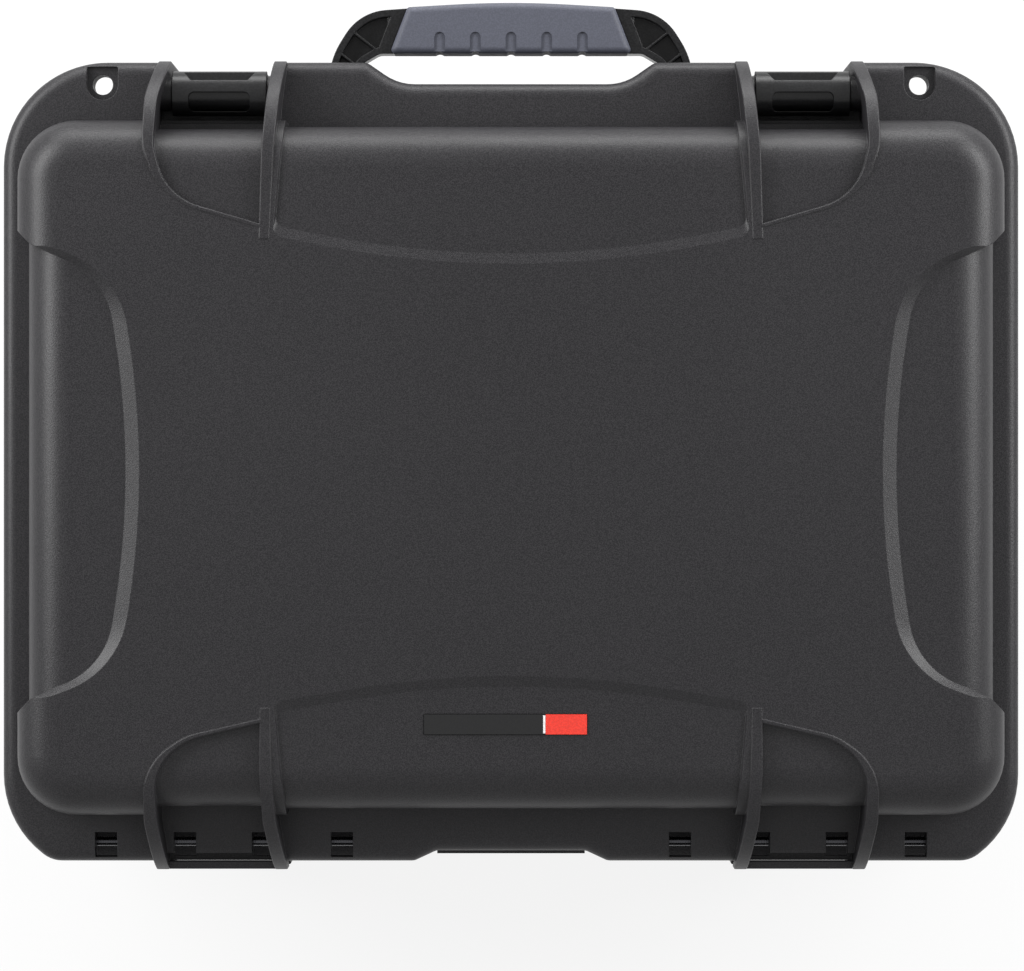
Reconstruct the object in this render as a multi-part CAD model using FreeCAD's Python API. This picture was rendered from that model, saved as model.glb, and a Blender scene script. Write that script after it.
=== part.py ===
import FreeCAD, Part
import math
import os

# Hard case with a hinged lid, two latches and a folding carry handle.
# Millimetres. X runs along the width, the latches and the handle face -Y, the hinge is at +Y.
# The case lies on its base: Z = 0 is the underside of the base and the lid opens upwards.
# Shapes are modelled about the parting plane (height 0) and lifted by base_height at the end.

# Overall size
case_width = 505.0
case_length = 397.2
base_height = 136.0
lid_height = 54.0

# Shells
wall = 3.8
flange_thickness = 12.0
lid_flange_radius = 6.5
base_flange_radius = 4.0
side_ledge = 9.6
front_ledge = 30.8
back_ledge = 24.6
shoulder_radius = 21.0
body_corner_radius = 29.0
cavity_corner_radius = 22.0
cavity_floor_radius = 14.0

# Flange outline
front_corner_radius = 52.0
back_corner_radius = 50.0
back_corner_length = 18.6
back_corner_width = 24.0
back_corner_blend = 15.0
front_notch_width = 143.0
front_notch_floor = 112.0
front_notch_depth = 10.7
front_notch_blend = 26.0
back_notch_width = 96.0
back_notch_floor = 74.0
back_notch_depth = 5.1
notch_lip_radius = 6.0

# Sunk fields on the big faces
side_field_depth = 3.0
side_field_wall_depth = 5.4
side_field_slope = 6.8
side_field_end_slope = 2.4
side_field_reach = 76.2
side_field_corner_reach = 61.0
side_field_half_length = 97.5
side_field_end_rise = 0.37
side_field_corner_radius = 45.0
side_field_bow_radius = 430.0
side_field_shift = 2.0
side_field_knee_inset = 2.0
side_field_knee_rise = 1.0
side_field_knee_radius = 9.0
centre_field_depth = 1.6
centre_field_wall_depth = 3.1
centre_field_slope = 5.0
centre_field_side_slope = 1.2
centre_field_margin = 1.5
centre_field_corner = 5.0
centre_field_bow_radius = 480.0
front_field_reach = 88.5
front_field_rise = 23.0
back_field_reach = 81.0
back_field_rise = 19.0
bay_field_depth = 3.2
bay_field_wall_depth = 4.1
bay_field_slope = 1.2

# Ribs beside the latches and the hinges, and the bead that closes each bay
# Shares of the case's width from its middle to the middle of a latch and of a hinge
latch_share = 0.2852
hinge_share = 0.2822
# Centre lines: offset from that middle, distance in from the flange edge, half width
front_inner_rib = ((-29.8, 0.0, 3.2), (-27.3, 20.0, 3.2), (-25.0, 46.0, 3.0), (-23.4, 90.0, 2.6))
front_outer_rib = ((27.4, 0.0, 3.2), (32.6, 20.0, 3.2), (33.8, 44.0, 2.8),
                   (27.5, 64.0, 1.6), (14.0, 73.5, 1.1), (-24.0, 84.5, 1.1))
back_inner_rib = ((-28.1, 0.0, 3.2), (-24.1, 22.0, 3.2), (-22.5, 46.0, 3.0), (-22.3, 78.0, 2.6))
back_outer_rib = ((30.5, 0.0, 3.2), (34.1, 22.0, 3.2), (34.5, 42.0, 2.8),
                  (29.0, 54.0, 1.6), (16.0, 63.5, 1.1), (-23.0, 72.5, 1.1))
rib_plan_radius = 30.0
rib_edge_radius = 0.7
rib_crest = 0.9
rib_crest_end = 53.0
rib_tail = 67.0
rib_tail_radius = 60.0
rib_proud = 0.35
rib_toe_height = 14.0
rib_bend_inset = 11.4
rib_bend_radius = 54.0
rib_toe_radius = 3.0
rib_flush_drop = 0.05
back_rib_overhang = 3.7
base_rib_foot = 34.0
base_rib_run = 30.0
base_rib_bend = 20.0

# Seal between the shells
seal_land = 3.4
groove_width = 5.0
groove_depth = 5.0
tongue_width = 3.2
tongue_height = 3.0
seal_squeeze_gap = 0.1
seal_side_gap = 0.2

# Hinge
hinge_inset = 9.2
hinge_pin_radius = 2.25
hinge_barrel_radius = 5.0
hinge_length = 142.0
hinge_end_wall = 2.3
window_width = 11.0
window_length = 12.4
window_edge = 2.2
window_first = -58.5
window_pitch = 39.0
window_count = 4
knuckle_width = 11.0
knuckle_offsets = (-43.5, 0.0, 44.5)
knuckle_gap = 0.6
hinge_neck_gap = 0.3
hinge_relief_inboard = 4.8
hinge_relief_depth = 13.0
rib_relief_depth = 20.0
hinge_web_depth = 17.0
hinge_web_thickness = 3.5
hinge_web_overhang = 1.0
back_lip_width = 3.7
back_lip_low = 3.0
back_lip_high = 11.0
back_slot_width = 4.2
back_slot_floor = 2.0
rear_tab_edge = 2.2
rear_tab_thickness = 6.5
rear_tab_gap = 0.5

# Padlock eyes
padlock_hole_radius = 5.0
padlock_side = 49.5
padlock_inset = 11.2
padlock_pocket_radius = 7.8
padlock_pocket_depth = 4.0
padlock_pocket_edge = 2.4
padlock_pocket_corner = 1.0

# Latches
latch_pin_radius = 2.25
latch_pin_inset = 16.1
latch_pin_height = 13.0
latch_pin_cover = 1.0
latch_bay_radius = 2.0
latch_bay_roof = 1.6
latch_hub_radius = 11.1
latch_boss_radius = 8.6
latch_boss_gap = 0.35
latch_plate_thickness = 6.5
latch_plate_drop = 46.0
latch_edge_radius = 1.5
latch_tip_flare = 3.0
latch_tip_rise = 14.0
latch_tip_bend = 20.0
latch_tip_radius = 2.0
latch_side_gap = 0.5
latch_hub_gap = 1.4
latch_hook_reach = 3.0
latch_hook_height = 5.0
latch_hook_gap = 0.4
latch_hook_edge = 0.8
latch_hook_side = 6.0
latch_keeper_gap = 0.5
latch_cap_width = 37.0
latch_cap_inner_width = 28.0
latch_cap_length = 5.0
latch_cap_depth = 7.0
latch_pill_width = 30.4
latch_pill_length = 9.4
latch_pill_depth = 2.6
latch_pill_offset = -0.2
latch_pill_radius = 3.0
lock_width = 17.0
lock_height = 13.0
lock_travel = 6.0
lock_depth = 2.6
lock_proud = 1.6
lock_gap = 0.3
lock_top = 16.0
lock_ridge_count = 3
lock_ridge_height = 1.2
lock_ridge_margin = 2.5
lock_edge_radius = 0.8

# Carry handle
handle_pin_radius = 2.5
handle_pin_inset = 13.0
handle_pin_drop = 24.0
handle_reach = 32.7
handle_width = 183.0
handle_shoulder_x = 76.0
handle_shoulder_reach = 27.5
handle_arm_width = 15.5
handle_knee_reach = 3.0
handle_shoulder_radius = 26.0
handle_knee_radius = 40.0
handle_inner_knee = -0.5
handle_inner_reach = 6.4
handle_inner_x = 66.0
handle_inner_radius = 6.0
handle_arm_height = 14.0
handle_rim = 3.4
handle_grip_web = 6.2
handle_pocket_depth = 5.8
handle_bow_radius = 600.0
# Cross ribs of an arm: inset from its outer side, reach past the flange edge, turn in degrees
handle_cross_ribs = ((8.9, 4.2, -38.0), (18.1, 12.8, -38.0))
handle_cross_half = 20.0
handle_cross_thickness = 1.1
handle_eye_radius = 8.0
handle_eye_gap = 1.0
ear_thickness = 5.5
ear_gap = 0.4
grip_thickness = 22.0
grip_top_half = 52.0
grip_foot_half = 61.0
grip_edge_radius = 3.2
grip_corner_radius = 2.0
grip_bow = 3.0
grip_bow_radius = 500.0
grip_core_gap = 0.05
grip_core_inset = 5.5
grip_core_height = 12.0
grip_core_overlap = 1.0
grip_groove_count = 5
grip_groove_pitch = 17.9
grip_groove_width = 5.4
grip_groove_length = 10.7
grip_groove_depth = 0.9

# Name plate, left blank
plate_length = 58.0
plate_tab_length = 20.2
plate_width = 9.8
plate_thickness = 1.0
plate_sink = 0.4
plate_divider = 1.4
plate_divider_thickness = 0.8
plate_start_x = 42.5
plate_inset = 70.0
plate_edge_gap = 0.1

# Pressure vent in the front wall of the base
vent_drop = 88.0
vent_stem_radius = 6.0
vent_stem_gap = 0.1
vent_flange_radius = 14.0
vent_flange_thickness = 3.0
vent_cap_radius = 12.0
vent_cap_thickness = 4.0
vent_cap_slots = 12
vent_cap_edge = 1.2
vent_slot_radius = 1.6
vent_boss_radius = 18.0
vent_boss_height = 1.2
vent_nut_width = 19.0
vent_nut_thickness = 5.0
vent_nut_reach = 2.0
vent_bore_radius = 3.0
vent_disc_radius = 8.0
vent_disc_thickness = 0.8
vent_disc_gap = 0.05
vent_ring_radius = 10.0
vent_ring_section = 1.3
vent_ring_squeeze = 0.2

# Running clearances
pin_press_gap = 0.02
pin_running_gap = 0.06
bore_end_gap = 0.2

# Modelling allowances
overcut = 6.0
fuse_overlap = 1.0
round_share = 0.99
tolerance = 1e-6

# Places worked out from the sizes above
front_y = -case_length / 2.0
back_y = case_length / 2.0
half_width = case_width / 2.0
body_half = half_width - side_ledge
body_front = front_y + front_ledge
body_back = back_y - back_ledge
hinge_y = back_y - hinge_inset
latch_y = front_y + latch_pin_inset
handle_y = front_y + handle_pin_inset
lid_face = lid_height
base_face = base_height
handle_half = handle_width / 2.0
latch_x = case_width * latch_share
hinge_x = case_width * hinge_share
hinge_start = hinge_x - hinge_length / 2.0
hinge_end = hinge_x + hinge_length / 2.0
knuckle_xs = [hinge_x + offset for offset in knuckle_offsets]
padlock_x = half_width - padlock_side
front_inner_line = [(latch_x + x, distance, half) for x, distance, half in front_inner_rib]
front_outer_line = [(latch_x + x, distance, half) for x, distance, half in front_outer_rib]
back_inner_line = [(hinge_x + x, distance, half) for x, distance, half in back_inner_rib]
back_outer_line = [(hinge_x + x, distance, half) for x, distance, half in back_outer_rib]

Vec = FreeCAD.Vector
ORIGIN = Vec(0, 0, 0)
MIRROR_X = Vec(1, 0, 0)
MIRROR_Z = Vec(0, 0, 1)


def rounded_wire(points, height):
    """Closed wire at one height through corners given as x, y and corner radius.

    Where two neighbouring rounds would meet, both shrink to share the side between them.
    """
    count = len(points)
    corners = [Vec(x, y, height) for x, y, radius in points]
    into = [(corners[i] - corners[i - 1]).normalize() for i in range(count)]
    out = [into[(i + 1) % count] for i in range(count)]
    half_turns = [into[i].getAngle(out[i]) / 2.0 for i in range(count)]
    wanted = [points[i][2] * math.tan(half_turns[i]) for i in range(count)]
    shares = [1.0] * count
    for i in range(count):
        length = corners[i].distanceToPoint(corners[i - 1])
        share = round_share * length / max(wanted[i] + wanted[i - 1], tolerance)
        shares[i] = min(shares[i], share)
        shares[i - 1] = min(shares[i - 1], share)
    tangents = [wanted[i] * shares[i] for i in range(count)]
    starts = [corners[i] - into[i] * tangents[i] for i in range(count)]
    ends = [corners[i] + out[i] * tangents[i] for i in range(count)]
    edges = []
    for i in range(count):
        if tangents[i] > tolerance:
            radius = tangents[i] / math.tan(half_turns[i])
            inward = (out[i] - into[i]).normalize()
            middle = corners[i] + inward * (radius / math.cos(half_turns[i]) - radius)
            edges.append(Part.Arc(starts[i], middle, ends[i]).toShape())
        edges.append(Part.LineSegment(ends[i], starts[(i + 1) % count]).toShape())
    return Part.Wire(edges)


def inset(points, distance):
    """The same corners moved inwards by a distance, with their radii kept concentric."""
    count = len(points)
    area = sum(points[i - 1][0] * points[i][1] - points[i][0] * points[i - 1][1] for i in range(count))
    side = 1.0 if area > 0 else -1.0
    moved = []
    for i in range(count):
        x, y, radius = points[i]
        before = points[i - 1]
        after = points[(i + 1) % count]
        into = Vec(x - before[0], y - before[1], 0).normalize()
        out = Vec(after[0] - x, after[1] - y, 0).normalize()
        normal_in = Vec(-into.y, into.x, 0) * side
        normal_out = Vec(-out.y, out.x, 0) * side
        step = (normal_in + normal_out) * (distance / (1.0 + normal_in.dot(normal_out)))
        turn = (into.x * out.y - into.y * out.x) * side
        kept = radius - distance if turn > 0 else radius + distance
        moved.append((x + step.x, y + step.y, max(kept, 0.0) if radius > 0 else 0.0))
    return moved


def prism(points, low, high):
    return Part.Face(rounded_wire(points, low)).extrude(Vec(0, 0, high - low))


def box(x0, x1, y0, y1, low, high):
    return Part.makeBox(x1 - x0, y1 - y0, high - low, Vec(x0, y0, low))


def rod(x0, x1, y, height, radius):
    return Part.makeCylinder(radius, x1 - x0, Vec(x0, y, height), Vec(1, 0, 0))


def post(x, y, low, high, radius):
    return Part.makeCylinder(radius, high - low, Vec(x, y, low), Vec(0, 0, 1))


def side_profile(points, x0, x1):
    """A profile given as y, height and corner radius, stretched from x0 to x1."""
    flat = rounded_wire(points, 0.0)
    flat.rotate(ORIGIN, Vec(1, 1, 1), 120)
    return Part.Face(flat).extrude(Vec(x1 - x0, 0, 0)).translated(Vec(x0, 0, 0))


def mirrored(shape):
    return shape.mirror(ORIGIN, MIRROR_X)


def both_sides(shapes):
    return shapes + [mirrored(shape) for shape in shapes]


def top_edges(shape, height):
    return [edge for edge in shape.Edges if abs(edge.BoundBox.ZMin - height) < tolerance
            and abs(edge.BoundBox.ZMax - height) < tolerance]


def rounded_rectangle(half_x, low_y, high_y, radius):
    corners = ((-half_x, low_y), (half_x, low_y), (half_x, high_y), (-half_x, high_y))
    return [(x, y, radius) for x, y in corners]


def rounded_block(half_x, low_y, high_y, corner_radius, height, edge_radius):
    """A block standing on the parting plane with a large round along its far face."""
    block = prism(rounded_rectangle(half_x, low_y, high_y, corner_radius), 0.0, height)
    return block.makeFillet(edge_radius, top_edges(block, height))


def flange(back_notch, edge_radius):
    """The rim that runs round a shell, with its finger notch in front and a notch behind."""
    front_half = front_notch_width / 2.0
    front_flat = front_notch_floor / 2.0
    back_half = back_notch_width / 2.0
    back_flat = back_notch_floor / 2.0
    right = [
        (front_flat, front_y + front_notch_depth, front_notch_blend),
        (front_half, front_y, notch_lip_radius),
        (half_width, front_y, front_corner_radius),
        (half_width, back_y - back_corner_length, back_corner_radius),
        (half_width - back_corner_width, back_y, back_corner_blend),
        (back_half, back_y, notch_lip_radius),
        (back_flat, back_y - back_notch, notch_lip_radius),
    ]
    left = [(-x, y, radius) for x, y, radius in reversed(right)]
    plate = prism(right + left, 0.0, flange_thickness)
    return plate.makeFillet(edge_radius, top_edges(plate, flange_thickness))


def sunk_tool(low, high, depth, face):
    """Cutter for a sunk field: straight below the field's floor and sloped up to the face.

    The low outline lies at the floor, the high one as far above the face.
    """
    floor = face - depth
    shaft = prism(low, flange_thickness, floor)
    rim = Part.makeLoft([rounded_wire(low, floor), rounded_wire(high, face + depth)], True, True)
    return shaft.fuse(rim)


def side_field(sunk):
    """Outline of the bowed field at one end of the face, at its floor (1) or above its rim (-1)."""
    shift = sunk * side_field_slope
    middle_x = half_width - side_field_reach + shift
    corner_x = half_width - side_field_corner_reach + shift
    knee_x = body_half - side_field_wall_depth - side_field_knee_inset
    outer_x = half_width + overcut
    length = side_field_half_length - sunk * side_field_end_slope
    rise = side_field_corner_reach - side_field_knee_inset - side_ledge - side_field_wall_depth
    knee = length + rise * side_field_end_rise
    end = knee + (outer_x - knee_x) * side_field_knee_rise
    centre = (body_front + body_back) / 2.0 + side_field_shift
    corner_radius = side_field_corner_radius - shift
    return [
        (outer_x, centre - end, 0.0),
        (outer_x, centre + end, 0.0),
        (knee_x, centre + knee, side_field_knee_radius),
        (corner_x, centre + length, corner_radius),
        (middle_x, centre, side_field_bow_radius - shift),
        (corner_x, centre - length, corner_radius),
        (knee_x, centre - knee, side_field_knee_radius),
    ]


def line_x(line, distance):
    """Where a rib's centre line lies at a distance in from the flange edge."""
    for i in range(1, len(line)):
        before, after = line[i - 1], line[i]
        if distance <= after[1] or i == len(line) - 1:
            share = (distance - before[1]) / (after[1] - before[1])
            return before[0] + share * (after[0] - before[0])


def centre_field(edge_y, towards, reach, rise, line, sunk):
    """Outline of the field between the inner ribs, ending in a shallow bow."""
    side = centre_field_margin + sunk * centre_field_side_slope
    outer_half = line_x(line, -overcut) - line[0][2] - side
    end_half = line_x(line, reach) - line[-1][2] - side
    outer = edge_y - towards * overcut
    end = edge_y + towards * (reach - sunk * centre_field_slope)
    return [
        (-outer_half, outer, 0.0),
        (outer_half, outer, 0.0),
        (end_half, end, centre_field_corner),
        (0.0, end + towards * rise, centre_field_bow_radius),
        (-end_half, end, centre_field_corner),
    ]


def centre_tool(edge_y, towards, reach, rise, line, face):
    low = centre_field(edge_y, towards, reach, rise, line, 1.0)
    high = centre_field(edge_y, towards, reach, rise, line, -1.0)
    return sunk_tool(low, high, centre_field_depth, face)


def bay_tool(edge_y, towards, inner_line, outer_line, face):
    outline = bay_field(edge_y, towards, inner_line, outer_line)
    return sunk_tool(inset(outline, bay_field_slope), inset(outline, -bay_field_slope), bay_field_depth, face)


def bay_field(edge_y, towards, inner_line, outer_line):
    """Outline of the field between two ribs, under their centre lines and the bead."""
    inner = [(line_x(inner_line, -overcut), -overcut, 0.0)]
    inner += [(x, distance, rib_plan_radius) for x, distance, half in inner_line[1:-1]]
    outer = [(line_x(outer_line, -overcut), -overcut, 0.0)]
    outer += [(x, distance, rib_plan_radius) for x, distance, half in outer_line[1:-1]]
    outer.append((outer_line[-1][0], outer_line[-1][1], 0.0))
    points = outer + inner[::-1]
    return [(x, edge_y + towards * distance, radius) for x, distance, radius in points]


def band(line, edge_y, towards):
    """Plan of a rib, from the flange edge inwards along its centre line."""
    start = (line_x(line, -overcut), -overcut, line[0][2])
    stops = [start] + list(line[1:])
    spots = [Vec(x, edge_y + towards * distance, 0) for x, distance, half in stops]
    one_side = []
    other_side = []
    for i in range(len(spots)):
        along = (spots[min(i + 1, len(spots) - 1)] - spots[max(i - 1, 0)]).normalize()
        aside = Vec(-along.y, along.x, 0) * stops[i][2]
        radius = rib_plan_radius if 0 < i < len(spots) - 1 else 0.0
        one_side.append((spots[i].x + aside.x, spots[i].y + aside.y, radius))
        other_side.append((spots[i].x - aside.x, spots[i].y - aside.y, radius))
    return one_side + other_side[::-1]


def rib(line, edge_y, towards, overhang, points):
    """One rib: its plan, limited by a side profile of distance from the edge, height and radius."""
    profile = [(edge_y + towards * distance, height, radius) for distance, height, radius in points]
    high = max(height for distance, height, radius in points) + overcut
    bar = prism(band(line, edge_y, towards), -overcut, high).common(side_profile(profile, 0.0, half_width))
    front = edge_y - towards * overhang
    low = min(height for distance, height, radius in points)
    end = Vec(line[-1][0], edge_y + towards * line[-1][1], 0)
    edges = []
    for edge in bar.Edges:
        bounds = edge.BoundBox
        upright = bounds.XLength < tolerance and bounds.YLength < tolerance
        across = bounds.YLength < tolerance and bounds.ZLength < tolerance
        middle = edge.CenterOfMass
        near_end = Vec(middle.x, middle.y, 0).distanceToPoint(end) < 2.0 * line[-1][2]
        if bounds.ZMax < low + tolerance or across or near_end:
            continue
        if upright and abs(bounds.YMin - front) > tolerance:
            continue
        edges.append(edge)
    return bar.makeFillet(rib_edge_radius, edges)


def lid_rib_points(overhang, start, length):
    """Side profile of a lid rib: a short toe, a long curve up to its crest and a low tail."""
    crest = lid_face + rib_crest
    top = lid_face + rib_proud
    return [
        (-overhang, start, 0.0),
        (-overhang, rib_toe_height, rib_toe_radius),
        (rib_bend_inset - overhang, crest, rib_bend_radius),
        (rib_crest_end, crest, rib_tail_radius),
        (rib_tail, top, rib_tail_radius),
        (length, top, 0.0),
        (length, start, 0.0),
    ]


def base_rib_points(overhang, start, length):
    """Side profile of a base rib: straight down the wall, then sloped in to the face."""
    top = base_face - rib_flush_drop
    return [
        (-overhang, start, 0.0),
        (-overhang, top - base_rib_foot, base_rib_bend),
        (-overhang + base_rib_run, top, base_rib_bend),
        (length, top, 0.0),
        (length, start, 0.0),
    ]


def shell_ribs(points_for, front_start, back_start):
    """The eight ribs of one shell."""
    length = case_length / 2.0
    front = points_for(0.0, front_start, length)
    back = points_for(back_rib_overhang, back_start, length)
    ribs = [rib(line, front_y, 1.0, 0.0, front) for line in (front_inner_line, front_outer_line)]
    ribs += [rib(line, back_y, -1.0, back_rib_overhang, back) for line in (back_inner_line, back_outer_line)]
    return both_sides(ribs)


def shell_body(face):
    """The raised body of one shell with its sunk fields."""
    body = rounded_block(body_half, body_front, body_back, body_corner_radius, face, shoulder_radius)
    side_floor = rounded_block(
        body_half - side_field_wall_depth, body_front, body_back, body_corner_radius,
        face - side_field_depth, shoulder_radius)
    centre_floor = rounded_block(
        body_half, body_front + centre_field_wall_depth, body_back - centre_field_wall_depth,
        body_corner_radius, face - centre_field_depth, shoulder_radius)
    bay_floor = rounded_block(
        body_half, body_front + bay_field_wall_depth, body_back - bay_field_wall_depth,
        body_corner_radius, face - bay_field_depth, shoulder_radius)
    side = sunk_tool(side_field(1.0), side_field(-1.0), side_field_depth, face).cut(side_floor)
    front_bay = bay_tool(front_y, 1.0, front_inner_line, front_outer_line, face).cut(bay_floor)
    back_bay = bay_tool(back_y, -1.0, back_inner_line, back_outer_line, face).cut(bay_floor)
    front_centre = centre_tool(front_y, 1.0, front_field_reach, front_field_rise, front_inner_line, face)
    back_centre = centre_tool(back_y, -1.0, back_field_reach, back_field_rise, back_inner_line, face)
    centres = [front_centre.cut(centre_floor), back_centre.cut(centre_floor)]
    for cutter in both_sides([side, front_bay, back_bay]) + centres:
        body = body.cut(cutter)
    return body


def cavity_outline():
    return rounded_rectangle(
        body_half - side_field_wall_depth - wall,
        body_front + bay_field_wall_depth + wall,
        body_back - bay_field_wall_depth - wall,
        cavity_corner_radius)


def cavity(face):
    depth = face - side_field_depth - wall
    block = prism(cavity_outline(), -overcut, depth)
    return block.makeFillet(cavity_floor_radius, top_edges(block, depth))


def seal_ring(width, low, high):
    """A ring that follows the cavity's rim on the centre line of the seal."""
    middle = seal_land + groove_width / 2.0
    outer = inset(cavity_outline(), -(middle + width / 2.0))
    inner = inset(cavity_outline(), -(middle - width / 2.0))
    return prism(outer, low, high).cut(prism(inner, low, high))


def padlock_cutters(sign):
    """Shackle hole and its open pocket, from the outer face of one flange."""
    x = sign * padlock_x
    y = front_y + padlock_inset
    start = front_y + padlock_pocket_edge
    radius = padlock_pocket_radius
    high = flange_thickness + overcut
    outline = [
        (x - radius, start, padlock_pocket_corner),
        (x + radius, start, padlock_pocket_corner),
        (x + radius, y + radius, radius),
        (x - radius, y + radius, radius),
    ]
    pocket = prism(outline, flange_thickness - padlock_pocket_depth, high)
    return [pocket, post(x, y, -overcut, high, padlock_hole_radius)]


def window_xs():
    return [hinge_x + window_first + i * window_pitch for i in range(window_count)]


def lid_hinge_cutters():
    """Windows and knuckle pockets on one side of the lid."""
    cutters = []
    for x in window_xs():
        low_y = back_y - window_edge - window_length
        cutters.append(box(x - window_width / 2.0, x + window_width / 2.0, low_y, back_y - window_edge,
                           -overcut, flange_thickness + overcut))
    for x in knuckle_xs:
        reach = knuckle_width / 2.0 + knuckle_gap
        cutters.append(rod(x - reach, x + reach, hinge_y, 0.0, hinge_barrel_radius + knuckle_gap))
    return cutters


def hinge_pin_bore():
    """Bore for the pin through one side of the lid, ribs included."""
    return rod(hinge_start + hinge_end_wall, hinge_end - hinge_end_wall, hinge_y, 0.0,
               hinge_pin_radius + pin_running_gap)


def latch_span():
    """The two sides of a latch, between the ribs and free to swing out past their toes."""
    inner = line_x(front_inner_line, latch_pin_inset + latch_hub_radius) + front_inner_line[0][2]
    outer = front_outer_line[0][0] - front_outer_line[0][2]
    return inner + latch_side_gap, outer - latch_side_gap


def latch_bosses():
    """Round bosses on the ribs, close against both ends of a latch's hub."""
    inner, outer = latch_span()
    inner_rib = line_x(front_inner_line, latch_pin_inset)
    outer_rib = line_x(front_outer_line, latch_pin_inset)
    return [
        rod(inner_rib, inner - latch_boss_gap, latch_y, latch_pin_height, latch_boss_radius),
        rod(outer + latch_boss_gap, outer_rib, latch_y, latch_pin_height, latch_boss_radius),
    ]


def latch_bay(depth, low):
    """Opening in a flange between the latch ribs, as deep as given from the flange edge."""
    points = [
        (line_x(front_inner_line, -overcut), front_y - overcut, 0.0),
        (line_x(front_outer_line, -overcut), front_y - overcut, 0.0),
        (line_x(front_outer_line, depth), front_y + depth, latch_bay_radius),
        (line_x(front_inner_line, depth), front_y + depth, latch_bay_radius),
    ]
    return prism(points, low, flange_thickness + overcut)


def keeper_inset():
    """How far the lip that a latch hooks under lies behind the flange edge."""
    plate_back = latch_pin_inset - latch_hub_radius + latch_plate_thickness
    return plate_back + latch_hook_reach + latch_keeper_gap


def lid_shell():
    shell = flange(back_notch_depth, lid_flange_radius)
    ribs = shell_ribs(lid_rib_points, 0.0, 0.0)
    lip = box(back_inner_line[0][0], back_outer_line[0][0], back_y, back_y + back_lip_width,
              back_lip_low, back_lip_high)
    slot = box(back_inner_line[0][0], back_outer_line[0][0], back_y - back_slot_width, back_y + overcut,
               back_slot_floor, flange_thickness + overcut)
    barrel = rod(hinge_start, hinge_end, hinge_y, 0.0, hinge_barrel_radius)
    hub_depth = latch_pin_inset + latch_hub_radius + latch_hub_gap
    ledge_depth = front_ledge + bay_field_wall_depth
    bays = [latch_bay(hub_depth, -overcut), latch_bay(ledge_depth, groove_depth + latch_bay_roof)]
    for cutter in both_sides(bays + [slot]):
        shell = shell.cut(cutter)
    shell = shell.multiFuse(both_sides([barrel]))
    for cutter in both_sides(lid_hinge_cutters()):
        shell = shell.cut(cutter)
    shell = shell.multiFuse([shell_body(lid_face)] + ribs + both_sides([lip] + latch_bosses()))
    shell = shell.cut(cavity(lid_face))
    shell = shell.cut(seal_ring(groove_width, -overcut, groove_depth))
    pin_x0, pin_x1 = latch_pin_span()
    latch_bore = rod(pin_x0, pin_x1, latch_y, latch_pin_height, latch_pin_radius + pin_press_gap)
    bores = both_sides([latch_bore, hinge_pin_bore()])
    for cutter in padlock_cutters(1.0) + padlock_cutters(-1.0) + bores + [plate_seat()]:
        shell = shell.cut(cutter)
    return shell.removeSplitter()


def base_hinge_parts():
    """Knuckles with their necks on one side of the base, below the parting plane."""
    parts = []
    half = knuckle_width / 2.0
    for x in knuckle_xs:
        barrel = rod(x - half, x + half, hinge_y, 0.0, hinge_barrel_radius)
        ledge = hinge_y - hinge_relief_inboard - overcut
        neck = box(x - half, x + half, ledge, hinge_y, hinge_neck_gap, hinge_barrel_radius)
        parts.append(barrel.fuse(neck))
    return parts


def handle_arm_span():
    return handle_half - handle_arm_width, handle_half


def handle_ears():
    """The two lugs that carry one end of the handle, below the base flange."""
    inner, outer = handle_arm_span()
    nose_y = handle_y - handle_eye_radius
    wall_y = body_front + centre_field_wall_depth + wall / 2.0
    start = flange_thickness - fuse_overlap
    end = handle_pin_drop + handle_eye_radius
    profile = [
        (nose_y, start, 0.0),
        (wall_y, start, 0.0),
        (wall_y, end, 0.0),
        (nose_y, end, handle_eye_radius),
    ]
    ear_starts = (inner - ear_gap - ear_thickness, outer + ear_gap)
    return [side_profile(profile, x, x + ear_thickness) for x in ear_starts]


def vent_wall_outer():
    return body_front + centre_field_wall_depth


def vent_seat():
    return vent_wall_outer() - vent_boss_height


def vent_inner_seat():
    return body_front + bay_field_wall_depth + wall + vent_boss_height


def y_disc(y0, y1, radius):
    """A disc on the vent's axis, in heights counted downwards from the parting plane."""
    return Part.makeCylinder(radius, y1 - y0, Vec(0, y0, vent_drop), Vec(0, 1, 0))


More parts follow.
